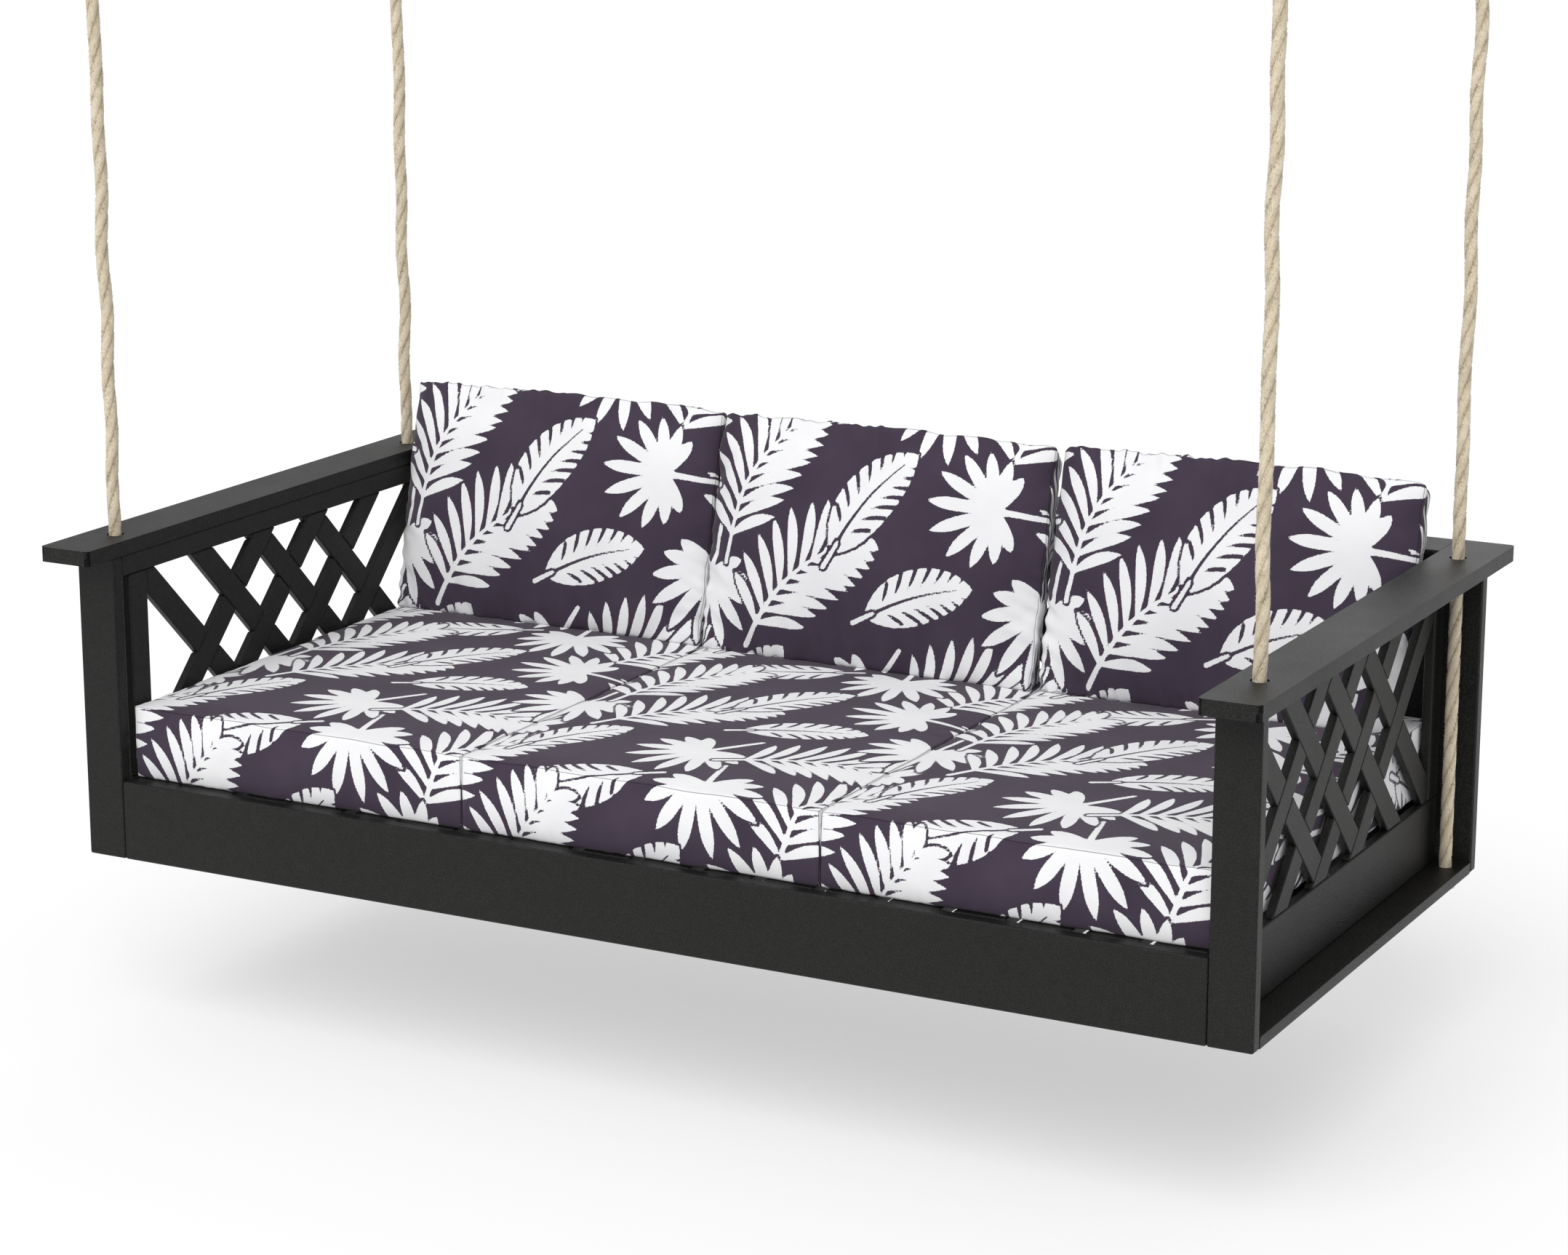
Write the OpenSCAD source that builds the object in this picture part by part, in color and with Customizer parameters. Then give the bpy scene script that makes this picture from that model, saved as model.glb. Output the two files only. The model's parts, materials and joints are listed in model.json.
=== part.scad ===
// Porch daybed swing: a plank frame with woven end panels, six loose cushions and
// four ropes that hang from four ceiling hangers. Millimetres. +X is the sitter's
// left when facing out, seen from the front it is to the right; +Y points to the
// back and +Z up. The origin is on the ceiling, at the middle of the four hangers.

/* [Seat frame] */
// Width over the outer faces of the posts
seat_w = 2164; // [1800:1:2400]
// Depth over the front and back faces of the posts
seat_d = 1042; // [900:1:1200]
// Height of the posts, from the base to the underside of the arms
post_h = 534; // [480:1:620]
// Width of the wide face of a post
post_w = 76; // [70:1:100]
// Thickness of the posts, the front rail, the back rail, the arms and the top rail
plank_t = 26; // [22:1:32]
// Height of the front rail and the back rail
rail_h = 140; // [120:1:160]
// Thickness of the end panels' rails and stiles
board_t = 18; // [16:1:20]
// Thickness of the base boards
base_t = 20; // [16:1:24]

/* [Arms] */
// Width of the arms and of the top rail
arm_w = 100; // [90:1:120]
// How far an arm reaches past the outer face of its posts
arm_side = 23; // [10:1:30]
// How far an arm reaches past the posts at the front and at the back
arm_end = 70; // [40:1:90]
// Radius of the arms' corners
arm_corner_r = 9; // [4:1:15]

/* [Woven panels] */
// Height of the rail under an arm
upper_rail_h = 37; // [30:1:50]
// Height of the top edge of an end panel's lower rail
lower_rail_top = 138; // [120:1:150]
// Width of the stiles
stile_w = 50; // [40:1:60]
// Gap between a post and its stile
stile_gap = 18; // [10:1:25]
// Width of a lattice slat
slat_w = 47; // [40:1:55]
// Thickness of a lattice slat
slat_t = 15; // [12:1:16]
// Distance between parallel lattice slats, measured along a rail
slat_pitch = 170.3; // [150:0.1:190]

/* [Seat deck] */
// Number of deck boards
deck_count = 18; // [14:1:20]
// Width of a deck board
deck_w = 89; // [60:1:92]
// Thickness of a deck board
deck_t = 19; // [16:1:22]
// Thickness of the ledgers and the joist
ledger_t = 38; // [30:1:45]
// Height of the ledgers and the joist
ledger_h = 60; // [45:1:75]

/* [Cushions] */
// Thickness of a seat cushion
seat_cushion_t = 128; // [90:1:140]
// Thickness of a back cushion
back_cushion_t = 130; // [110:1:160]
// Height of a back cushion along its front face
back_cushion_h = 430; // [380:1:480]
// Distance from the front face of the posts to the foot of the back cushions
back_cushion_y = 812; // [760:1:820]
// Lean of the back cushions
back_cushion_lean = 13; // [5:1:14]

/* [Ropes and hangers] */
// Diameter of a rope
rope_d = 22; // [18:1:24]
// Diameter of the rope hole through an arm
arm_hole_d = 30; // [28:1:34]
// Distance from the outer face of a post to a rope's centre
rope_in_x = 32.5; // [30:0.5:36]
// Distance from the front or back face of a post to a rope's centre
rope_in_y = 66; // [60:1:80]
// Height from the underside of the base boards to the ceiling
hang_h = 1750; // [1600:10:2400]
// Diameter of a hanger's bar and stud
bar_d = 12; // [10:1:12]

/* [Hidden] */
// Small gap that keeps two pieces from touching
gap = 0.5;
// Clearance on each side of a half lap
lap_gap = 0.2;
// How far a cutter reaches past the face it cuts
past = 1;
// Facets of the round features
$fn = 48;

inner_x = seat_w/2 - post_w;
inner_d = seat_d - 2*plank_t;
inner_w = 2*inner_x;
arm_z = post_h;
arm_top = post_h + plank_t;
arm_x = seat_w/2 + arm_side - arm_w;
rope_x = seat_w/2 - rope_in_x;
rope_r = rope_d/2;

// End panel: the opening between the stiles and the rails
panel_y = plank_t + stile_gap;
panel_d = seat_d - 2*panel_y;
opening_y = panel_y + stile_w;
opening_d = seat_d - 2*opening_y;
upper_rail_z = post_h - upper_rail_h;
opening_h = upper_rail_z - lower_rail_top;

// Back panel: the opening between the stiles and the rails
back_panel_y = seat_d - (plank_t + board_t)/2;
back_stile_x = inner_x - stile_gap - stile_w;
back_opening_h = upper_rail_z - rail_h;

// Seat deck: gap between the end of a deck board and a rail
deck_end_gap = 1;

// Cushions, three side by side
cushion_pitch = 668;
cushion_w = cushion_pitch - 2*gap;
seat_cushion_front = 31;
seat_cushion_back = seat_d - plank_t - 6;
seat_cushion_z = rail_h + gap;
seat_cushion_r = 18;
back_cushion_z = seat_cushion_z + seat_cushion_t + gap;
// The foot of a back cushion starts this much higher before it leans back, so that
// its lower back corner meets the seat cushion, where it is cut level
back_cushion_lift = 10;
back_cushion_r = 32;

// Rope: the hanger bar is bar_drop under the ceiling and rope_h over the pivot at
// the arm's top
bar_drop = 50;
rope_h = hang_h - bar_drop - arm_top;
rope_sides = 12;
ring_step = 50;
tail_scale = 0.75;
base_hole_d = rope_d + 4;

// Thimble in the rope's eye
thimble_r = 16;
thimble_wall = 3;
thimble_lip = 7;
thimble_w = rope_d + 6;
bar_r = bar_d/2;
bar_clear = 0.3;
thimble_z = rope_h - (thimble_r - bar_r - bar_clear);

// Hanger
flange_r = 38;
flange_t = 8;
leg_x = 26;
stud_h = 60;

// Stop at the lower end of a rope
washer_r = 28;
washer_t = 3;
ferrule_r = 18;
ferrule_h = 14;
ferrule_floor = 3;
washer_clear = 1;
ferrule_clear = 0.2;

// Screws that hold an end panel on its base board
screw_r = 2.5;
screw_head_r = 5;
screw_head_h = 3;
screw_l = 45;
screw_count = 4;
screw_clear = 0.1;
head_clear = 0.2;

// Route of a rope's eye: distance to the back and height over the hanger's bar, from
// the straight rope around the thimble and down to the end of the splice
EYE_ROUTE = [[0, -140], [-3, -110], [-8, -86], [-15, -63], [-23, -41], [-29, -24],
  [-31, -9], [-28, 5], [-18, 16], [-6, 21], [6, 21], [18, 16], [28, 5], [31, -9],
  [30, -25], [27.5, -42], [23.5, -62], [20.5, -82], [19.5, -100]];

CORNERS = [["front_left", -1, 0], ["front_right", 1, 0], ["back_left", -1, 1], ["back_right", 1, 1]];
SIDES = [["left", -1], ["right", 1]];
BAYS = [["left", -1], ["middle", 0], ["right", 1]];
WEAVES = [["rising", true], ["falling", false]];

// Places its children from the seat's own corner: the front face of the posts is
// y = 0 and the underside of the base boards is z = 0
module seat_frame() {
  translate([0, -seat_d/2, -hang_h]) children();
}

// Places its children at the foot of a corner's rope, turned so that they look the
// same from the front and from the back
module at_rope(side, rear, z) {
  seat_frame() translate([side*rope_x, rear ? seat_d - rope_in_y : rope_in_y, z]) children();
}

// Outline of a plank seen from its end, with eased corners
module eased_square(size, r) {
  translate([r, 0]) square([size[0] - 2*r, size[1]]);
  translate([0, r]) square([size[0], size[1] - 2*r]);
  for (x = [r, size[0] - r], y = [r, size[1] - r]) translate([x, y]) circle(r);
}

// ---- Frame ----

module post(side, rear) {
  x = side < 0 ? -seat_w/2 : inner_x;
  y = rear ? seat_d - plank_t : 0;
  color("#343432") seat_frame() translate([x, y, 0]) cube([post_w, plank_t, post_h]);
}

module long_rail(y) {
  color("#343432") seat_frame() translate([-inner_x, y, 0]) cube([inner_w, plank_t, rail_h]);
}

module arm(side) {
  x = side < 0 ? -arm_x - arm_w : arm_x;
  length = seat_d + 2*arm_end;
  color("#3a3a38") seat_frame() difference() {
    translate([x, -arm_end, arm_z]) linear_extrude(plank_t) eased_square([arm_w, length], arm_corner_r);
    for (y = [rope_in_y, seat_d - rope_in_y])
      translate([side*rope_x, y, arm_z - past]) cylinder(d = arm_hole_d, h = plank_t + 2*past);
  }
}

module back_top_rail() {
  y = seat_d + arm_end - arm_w;
  color("#3a3a38") seat_frame() translate([-arm_x, y, arm_z]) cube([2*arm_x, arm_w, plank_t]);
}

module back_upper_rail() {
  color("#343432") seat_frame() translate([-inner_x, back_panel_y, upper_rail_z])
    cube([inner_w, board_t, upper_rail_h]);
}

module base_board(side) {
  x = side < 0 ? -seat_w/2 : inner_x;
  color("#2c2c2a") seat_frame() difference() {
    translate([x, plank_t, 0]) cube([post_w, inner_d, base_t]);
    for (y = [rope_in_y, seat_d - rope_in_y])
      translate([side*rope_x, y, -past]) cylinder(d = base_hole_d, h = base_t + 2*past);
    for (k = [0:screw_count - 1]) screw_hole(side, k);
  }
}

// ---- End panels: both are the same piece, so they are placed and not mirrored ----

module upper_rail(side) {
  x = side < 0 ? -inner_x - board_t : inner_x;
  color("#343432") seat_frame() translate([x, plank_t, upper_rail_z])
    cube([board_t, inner_d, upper_rail_h]);
}

module lower_rail(side) {
  x = side < 0 ? -inner_x - board_t : inner_x;
  color("#343432") seat_frame() difference() {
    translate([x, panel_y, base_t]) cube([board_t, panel_d, lower_rail_top - base_t]);
    for (k = [0:screw_count - 1]) screw_hole(side, k);
  }
}

module stile(side, rear) {
  x = side < 0 ? -inner_x - board_t : inner_x;
  y = rear ? seat_d - opening_y : panel_y;
  color("#343432") seat_frame() translate([x, y, lower_rail_top]) cube([board_t, stile_w, opening_h]);
}

module back_panel_stile(side) {
  x = side < 0 ? -back_stile_x - stile_w : back_stile_x;
  color("#343432") seat_frame() translate([x, back_panel_y, rail_h])
    cube([stile_w, board_t, back_opening_h]);
}

// Number of slats each way across an opening of w by h
function slat_count(w, h) = round((w - h)/slat_pitch) + 1;

// Where a slat's centre line meets the opening's lower edge: rising slats run up to
// the right, falling ones down to the right
function slat_foot(w, h, rising, k) =
  (rising ? (w - h)/2 : (w + h)/2) + (k - (slat_count(w, h) - 1)/2)*slat_pitch;

// Outline of slat k, long enough to reach past the opening's edges at both ends
module slat_outline(w, h, rising, k, width) {
  foot = slat_foot(w, h, rising, k);
  translate([rising ? foot + h/2 : foot - h/2, h/2]) rotate(rising ? 45 : -45)
    square([1.5*h + 2*slat_w, width], center = true);
}

// Removes half the thickness of a slat where crossing slat m lies over or under it
module lap(w, h, rising, m, over) {
  half = slat_t/2 + lap_gap/2;
  translate([0, 0, over ? slat_t - half : -past]) linear_extrude(half + past)
    slat_outline(w, h, rising, m, slat_w + 2*lap_gap);
}

// One set of parallel slats: each passes over one crossing slat and under the next
module slats(w, h, rising) {
  last = slat_count(w, h) - 1;
  for (k = [0:last]) difference() {
    linear_extrude(slat_t) intersection() {
      slat_outline(w, h, rising, k, slat_w);
      square([w, h]);
    }
    for (m = [0:last]) lap(w, h, !rising, m, ((k + m) % 2 == 0) != rising);
  }
}

module end_slats(side, rising) {
  x = (side < 0 ? -inner_x - board_t : inner_x) + (board_t - slat_t)/2;
  color("#3a3a38") seat_frame() translate([x, opening_y, lower_rail_top]) rotate([90, 0, 90])
    slats(opening_d, opening_h, rising);
}

module back_slats(rising) {
  y = back_panel_y + (board_t + slat_t)/2;
  color("#3a3a38") seat_frame() translate([-back_stile_x, y, rail_h]) rotate([90, 0, 0])
    slats(2*back_stile_x, back_opening_h, rising);
}

// ---- Screws under the end panels ----

function screw_y(k) = panel_y + panel_d*(k + 0.5)/screw_count;

module at_screw(side, k, z) {
  translate([side*(inner_x + board_t/2), screw_y(k), z]) children();
}

module screw_hole(side, k) {
  at_screw(side, k, -past) cylinder(r = screw_head_r + head_clear, h = screw_head_h + past);
  at_screw(side, k, 0) cylinder(r = screw_r + screw_clear, h = screw_l + past);
}

module base_screws() {
  color("silver") seat_frame() for (s = SIDES, k = [0:screw_count - 1]) {
    at_screw(s[1], k, 0) cylinder(r = screw_head_r, h = screw_head_h);
    at_screw(s[1], k, screw_head_h) cylinder(r = screw_r, h = screw_l - screw_head_h);
  }
}

// ---- Seat deck ----

module deck_beam(y) {
  color("#2c2c2a") seat_frame() translate([-inner_x, y, rail_h - deck_t - ledger_h])
    cube([inner_w, ledger_t, ledger_h]);
}

module deck_boards() {
  pitch = inner_w/deck_count;
  color("#2c2c2a") seat_frame() for (k = [0:deck_count - 1])
    translate([-inner_x + pitch*(k + 0.5) - deck_w/2, plank_t + deck_end_gap, rail_h - deck_t])
      cube([deck_w, inner_d - 2*deck_end_gap, deck_t]);
}

// ---- Cushions ----

module seat_cushion(bay) {
  depth = seat_cushion_back - seat_cushion_front;
  color("#e6e6ea") seat_frame()
    translate([bay*cushion_pitch - cushion_w/2, seat_cushion_front, seat_cushion_z]) rotate([90, 0, 90])
      linear_extrude(cushion_w) eased_square([depth, seat_cushion_t], seat_cushion_r);
}

module back_cushion(bay) {
  color("#4a3c50") seat_frame()
    translate([bay*cushion_pitch - cushion_w/2, back_cushion_y, back_cushion_z]) intersection() {
      rotate([90, 0, 90]) linear_extrude(cushion_w) translate([0, back_cushion_lift])
        rotate(-back_cushion_lean) eased_square([back_cushion_t, back_cushion_h], back_cushion_r);
      translate([-past, -back_cushion_t, 0])
        cube([cushion_w + 2*past, 3*back_cushion_t, 2*back_cushion_h]);
    }
}

// ---- Ropes ----

// Ring centres along a route, no more than step apart
function resample(route, step) = [
  for (i = [0:len(route) - 2])
    let (a = route[i], b = route[i + 1], n = max(1, ceil(norm(b - a)/step)))
      for (k = [0:n - 1]) a + (b - a)*k/n,
  route[len(route) - 1]];

// Direction of the route at ring i
function heading(path, i) =
  let (a = path[max(i - 1, 0)], b = path[min(i + 1, len(path) - 1)]) (b - a)/norm(b - a);

// Points of one ring: centre c and heading t in the YZ plane, radius r
function ring(c, t, r) = [for (k = [0:rope_sides - 1])
  let (a = 360*(k + 0.5)/rope_sides)
    [r*cos(a), c[0] + r*sin(a)*t[1], c[1] - r*sin(a)*t[0]]];

// Closed tube through a list of [centre, heading, radius]
module tube(rings) {
  n = rope_sides;
  m = len(rings);
  points = [for (q = rings) each ring(q[0], q[1], q[2])];
  walls = [for (i = [0:m - 2], k = [0:n - 1])
    let (a = i*n + k, b = i*n + (k + 1) % n) each [[a, a + n, b], [b, a + n, b + n]]];
  ends = [[for (k = [0:n - 1]) k], [for (k = [n - 1:-1:0]) (m - 1)*n + k]];
  polyhedron(points, concat(walls, ends));
}

// Rings of a rope's lower end, a half ball about the pivot
function ball_end() = [for (a = [80, 55, 28]) [[0, -rope_r*sin(a)], [0, 1], rope_r*cos(a)]];

// Rings from the pivot straight up and round the eye. The last one is smaller, where
// the end of the rope tapers into the splice
function rope_rings() =
  let (eye = [for (p = EYE_ROUTE) [p[0], rope_h + p[1]]],
       path = resample(concat([[0, 0]], eye), ring_step), m = len(path))
    [for (i = [0:m - 1]) [path[i], heading(path, i), rope_r*(i == m - 1 ? tail_scale : 1)]];

module rope(side, rear) {
  color("#d9c8a6") at_rope(side, rear, arm_top) tube(concat(ball_end(), rope_rings()));
}

// From just under the pivot, down past the panel to the ferrule's floor
module lower_rope(side, rear) {
  top = -rope_r - gap;
  foot = -arm_top - washer_t - ferrule_h + ferrule_floor;
  path = resample([[0, foot], [0, top]], ring_step);
  color("#d9c8a6") at_rope(side, rear, arm_top) tube([for (c = path) [c, [0, 1], rope_r]]);
}

module rope_washers() {
  color("silver") for (c = CORNERS) at_rope(c[1], c[2], -washer_t) difference() {
    cylinder(r = washer_r, h = washer_t);
    translate([0, 0, -past]) cylinder(r = rope_r + washer_clear, h = washer_t + 2*past);
  }
}

module rope_ferrules() {
  color("silver") for (c = CORNERS) at_rope(c[1], c[2], -washer_t - ferrule_h) difference() {
    cylinder(r = ferrule_r, h = ferrule_h);
    translate([0, 0, ferrule_floor]) cylinder(r = rope_r + ferrule_clear, h = ferrule_h);
  }
}

module thimble(side, rear) {
  color("silver") at_rope(side, rear, arm_top + thimble_z) rotate([0, 90, 0]) rotate_extrude() {
    translate([thimble_r, -thimble_w/2]) square([thimble_wall, thimble_w]);
    for (z = [-thimble_w/2, rope_r + gap])
      translate([thimble_r, z]) square([thimble_wall + thimble_lip, thimble_w/2 - rope_r - gap]);
  }
}

// ---- Ceiling hangers ----

module hanger(side, rear) {
  color("silver") at_rope(side, rear, hang_h) {
    translate([0, 0, -flange_t]) cylinder(r = flange_r, h = flange_t);
    cylinder(d = bar_d, h = stud_h);
    for (x = [-leg_x, leg_x]) {
      translate([x, 0, -bar_drop]) cylinder(d = bar_d, h = bar_drop - flange_t);
      translate([x, 0, -bar_drop]) sphere(d = bar_d);
    }
    translate([-leg_x, 0, -bar_drop]) rotate([0, 90, 0]) cylinder(d = bar_d, h = 2*leg_x);
  }
}

for (c = CORNERS) post(c[1], c[2]);
long_rail(0);  // front_rail
long_rail(seat_d - plank_t);  // back_rail
back_top_rail();
back_upper_rail();
for (s = SIDES) arm(s[1]);
for (s = SIDES) upper_rail(s[1]);
for (s = SIDES) lower_rail(s[1]);
for (c = CORNERS) stile(c[1], c[2]);
for (s = SIDES) back_panel_stile(s[1]);
for (s = SIDES, w = WEAVES)
  end_slats(s[1], w[1]);
for (w = WEAVES) back_slats(w[1]);
for (s = SIDES) base_board(s[1]);
base_screws();
deck_beam(plank_t);  // front_ledger
deck_beam(seat_d - plank_t - ledger_t);  // back_ledger
deck_beam((seat_d - ledger_t)/2);  // middle_joist
deck_boards();
for (b = BAYS) seat_cushion(b[1]);
for (b = BAYS) back_cushion(b[1]);
for (c = CORNERS) rope(c[1], c[2]);
for (c = CORNERS) lower_rope(c[1], c[2]);
rope_washers();
rope_ferrules();
for (c = CORNERS) thimble(c[1], c[2]);
for (c = CORNERS) hanger(c[1], c[2]);
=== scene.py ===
"""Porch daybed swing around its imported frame: planks, leaf-print cushions and twisted ropes."""

import json
import math
import random

import bpy
import numpy as np
from mathutils import Matrix, Vector, noise


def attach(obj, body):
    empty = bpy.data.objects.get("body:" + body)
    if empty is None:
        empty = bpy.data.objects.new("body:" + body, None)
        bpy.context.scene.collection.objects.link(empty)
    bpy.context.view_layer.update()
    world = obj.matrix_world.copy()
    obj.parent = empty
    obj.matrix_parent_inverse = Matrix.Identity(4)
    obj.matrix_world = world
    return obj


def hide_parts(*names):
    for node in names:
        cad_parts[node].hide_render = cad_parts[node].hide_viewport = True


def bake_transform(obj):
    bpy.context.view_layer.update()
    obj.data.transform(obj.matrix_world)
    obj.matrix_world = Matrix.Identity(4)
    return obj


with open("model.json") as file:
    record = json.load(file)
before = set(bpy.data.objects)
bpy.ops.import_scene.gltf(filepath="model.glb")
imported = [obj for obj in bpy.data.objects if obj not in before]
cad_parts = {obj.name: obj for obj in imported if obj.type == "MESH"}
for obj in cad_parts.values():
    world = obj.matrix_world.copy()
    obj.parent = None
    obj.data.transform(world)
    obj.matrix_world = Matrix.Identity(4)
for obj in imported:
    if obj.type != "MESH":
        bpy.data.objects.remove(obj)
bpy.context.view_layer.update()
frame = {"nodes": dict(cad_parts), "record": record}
scene = bpy.context.scene
scene.view_settings.view_transform = "Standard"

CORNERS = ("front_left", "front_right", "back_left", "back_right")
BAYS = ("left", "middle", "right")
CEILING_TO_BASE = 1.750
HALF_DEPTH = 0.521
FLOOR_UNDER_BASE = 0.300


def tidy_mesh(name, verts, faces, smooth=True):
    mesh = bpy.data.meshes.new(name)
    mesh.from_pydata([tuple(v) for v in verts], [], [tuple(f) for f in faces])
    mesh.polygons.foreach_set("use_smooth", [smooth] * len(mesh.polygons))
    mesh.update()
    obj = bpy.data.objects.new(name, mesh)
    scene.collection.objects.link(obj)
    return obj


def add_attribute(mesh, name, kind, domain, values):
    values = np.asarray(values, np.float32)
    attribute = mesh.attributes.new(name, kind, domain)
    attribute.data.foreach_set("vector" if kind == "FLOAT_VECTOR" else "value", values.ravel())


# ---- Camera, at the photograph's angle ----
LENS, SENSOR = 90.1, 36.0
CAMERA_AT = Vector((3.0597, -5.7350, 0.2920))
CAMERA_AXES = ((0.8830, -0.1136, 0.4554), (0.4694, 0.2142, -0.8566), (0.0, 0.9702, 0.2425))
camera_data = bpy.data.cameras.new("photo_camera")
camera_data.lens, camera_data.sensor_width, camera_data.sensor_fit = LENS, SENSOR, "HORIZONTAL"
camera_data.clip_start, camera_data.clip_end = 0.05, 400.0
camera = bpy.data.objects.new("photo_camera", camera_data)
camera.matrix_world = Matrix.Translation(CAMERA_AT) @ Matrix(CAMERA_AXES).to_4x4()
scene.collection.objects.link(camera)
scene.camera = camera


# ---- Materials: small helpers ----
def new_material(name):
    material = bpy.data.materials.new(name)
    material.use_nodes = True
    nodes = material.node_tree.nodes
    return material, nodes, material.node_tree.links, nodes["Principled BSDF"]


def add_node(nodes, kind, **settings):
    node = nodes.new(kind)
    for key, value in settings.items():
        if key in node.inputs:
            node.inputs[key].default_value = value
        else:
            setattr(node, key, value)
    return node


def math_node(nodes, links, operation, *values, clamp=False):
    node = nodes.new("ShaderNodeMath")
    node.operation, node.use_clamp = operation, clamp
    for i, value in enumerate(values):
        if isinstance(value, bpy.types.NodeSocket):
            links.new(value, node.inputs[i])
        else:
            node.inputs[i].default_value = value
    return node.outputs[0]


def ramp(nodes, links, factor, stops):
    node = nodes.new("ShaderNodeValToRGB")
    elements = node.color_ramp.elements
    while len(elements) < len(stops):
        elements.new(0.5)
    for element, (position, colour) in zip(elements, stops):
        element.position, element.color = position, (*colour, 1.0)
    links.new(factor, node.inputs["Fac"])
    return node.outputs["Color"]


def attribute(nodes, name, output="Fac"):
    node = nodes.new("ShaderNodeAttribute")
    node.attribute_name = name
    return node.outputs[output]


def bump(nodes, links, height, strength, distance, under=None):
    node = add_node(nodes, "ShaderNodeBump", Strength=strength, Distance=distance)
    links.new(height, node.inputs["Height"])
    if under is not None:
        links.new(under, node.inputs["Normal"])
    return node.outputs["Normal"]


def noise_node(nodes, links, vector, scale, detail=2.0, roughness=0.5):
    node = add_node(nodes, "ShaderNodeTexNoise", Scale=scale, Detail=detail, Roughness=roughness)
    links.new(vector, node.inputs["Vector"])
    return node.outputs["Fac"]


def object_place(nodes):
    return nodes.new("ShaderNodeTexCoord").outputs["Object"]


def rope_material():
    material, nodes, links, shader = new_material("rope_fibre")
    lay = attribute(nodes, "lay", "Vector")
    groove = attribute(nodes, "groove")
    stretch = add_node(nodes, "ShaderNodeMapping", Scale=(1.0, 1.0, 0.06))
    links.new(lay, stretch.inputs["Vector"])
    fibres = noise_node(nodes, links, stretch.outputs["Vector"], 900.0, 4.0, 0.7)
    patches = noise_node(nodes, links, lay, 35.0, 3.0)
    blotches = math_node(nodes, links, "MULTIPLY", patches, 0.45)
    tone = math_node(nodes, links, "MULTIPLY_ADD", fibres, 0.7, blotches)
    grain = noise_node(nodes, links, lay, 620.0, 2.0, 0.7)
    evened = math_node(nodes, links, "SUBTRACT", tone, 0.275)
    tone = math_node(nodes, links, "MULTIPLY_ADD", grain, 0.55, evened)
    # Painted shade: the colour is darkened along the grooves between the strands, and also on the loose fibre
    # ends and the twine, which carry a groove value too
    shadow = math_node(nodes, links, "MULTIPLY", groove, 0.26)
    tone = math_node(nodes, links, "SUBTRACT", tone, shadow, clamp=True)
    colour = ramp(nodes, links, tone, ((0.12, (0.22, 0.165, 0.10)), (0.42, (0.52, 0.44, 0.31)),
                                       (0.62, (0.66, 0.575, 0.43)), (0.85, (0.78, 0.71, 0.57))))
    links.new(colour, shader.inputs["Base Color"])
    links.new(bump(nodes, links, fibres, 0.7, 0.0009), shader.inputs["Normal"])
    shader.inputs["Roughness"].default_value = 0.92
    shader.inputs["Sheen Weight"].default_value = 0.35
    shader.inputs["Sheen Roughness"].default_value = 0.6
    shader.inputs["Specular IOR Level"].default_value = 0.15
    return material


# ---- Ropes: one rope from the ferrule up through the arm and round its hanger ----
ROPE_D = 0.022
ROPE_X, ROPE_Y = 1.0495, 0.455
ARM_TOP = -1.190
BAR_Z = -0.050
ROPE_FOOT = -CEILING_TO_BASE - 0.014
ROPE_PITCH = 0.150
ROPE_STEP = 0.0032
ROPE_SIDES = 42
STRAND_BULGE = 0.0021
# Distance to the back and height over the hanger's bar, as the CAD rope goes
EYE_ROUTE = ((0, -.14), (-.003, -.11), (-.008, -.086), (-.015, -.063), (-.023, -.041), (-.029, -.024),
             (-.031, -.009), (-.028, .005), (-.018, .016), (-.006, .021), (.006, .021), (.018, .016),
             (.028, .005), (.031, -.009), (.030, -.025), (.0275, -.042), (.0235, -.062), (.0205, -.082),
             (.0195, -.1))


def smooth_line(points, step):
    """Points a step apart on a smooth curve through the given ones."""
    p = np.array(points, float)
    p = np.vstack([2 * p[0] - p[1], p, 2 * p[-1] - p[-2]])
    dense = []
    for i in range(1, len(p) - 2):
        for t in np.linspace(0, 1, 40, endpoint=False):
            dense.append(0.5 * (2 * p[i] + (p[i + 1] - p[i - 1]) * t
                                + (2 * p[i - 1] - 5 * p[i] + 4 * p[i + 1] - p[i + 2]) * t * t
                                + (3 * p[i] - p[i - 1] - 3 * p[i + 1] + p[i + 2]) * t ** 3))
    dense = np.array([*dense, p[-2]])
    s = np.concatenate([[0], np.cumsum(np.linalg.norm(np.diff(dense, axis=0), axis=1))])
    even = np.linspace(0, s[-1], max(2, round(s[-1] / step)) + 1)
    return np.array([np.interp(even, s, dense[:, k]) for k in range(dense.shape[1])]).T, even


def rope_line(x, y, seed):
    """Centre of a rope: up from the ferrule, with the slight waves of a heavy twisted rope."""
    straight = [(y, z) for z in np.linspace(ROPE_FOOT, BAR_Z - 0.19, 13)]
    route = [*straight, *((y + dy, BAR_Z + dz) for dy, dz in EYE_ROUTE)]
    line, s = smooth_line(route, ROPE_STEP)
    free = np.interp(line[:, 1], [ARM_TOP, ARM_TOP + 0.12, BAR_Z - 0.25, BAR_Z - 0.15], [0, 1, 1, 0])
    free = np.where(s > s[-1] * 0.93, 0, free)
    wave_x = (0.0016 * np.sin(2 * math.pi * s / 0.23 + seed)
              + 0.0010 * np.sin(2 * math.pi * s / 0.41 + 2 * seed))
    wave_y = 0.0014 * np.sin(2 * math.pi * s / 0.19 + 3 * seed)
    return np.column_stack([x + free * wave_x, line[:, 0] + free * wave_y, line[:, 1]]), s


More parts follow.
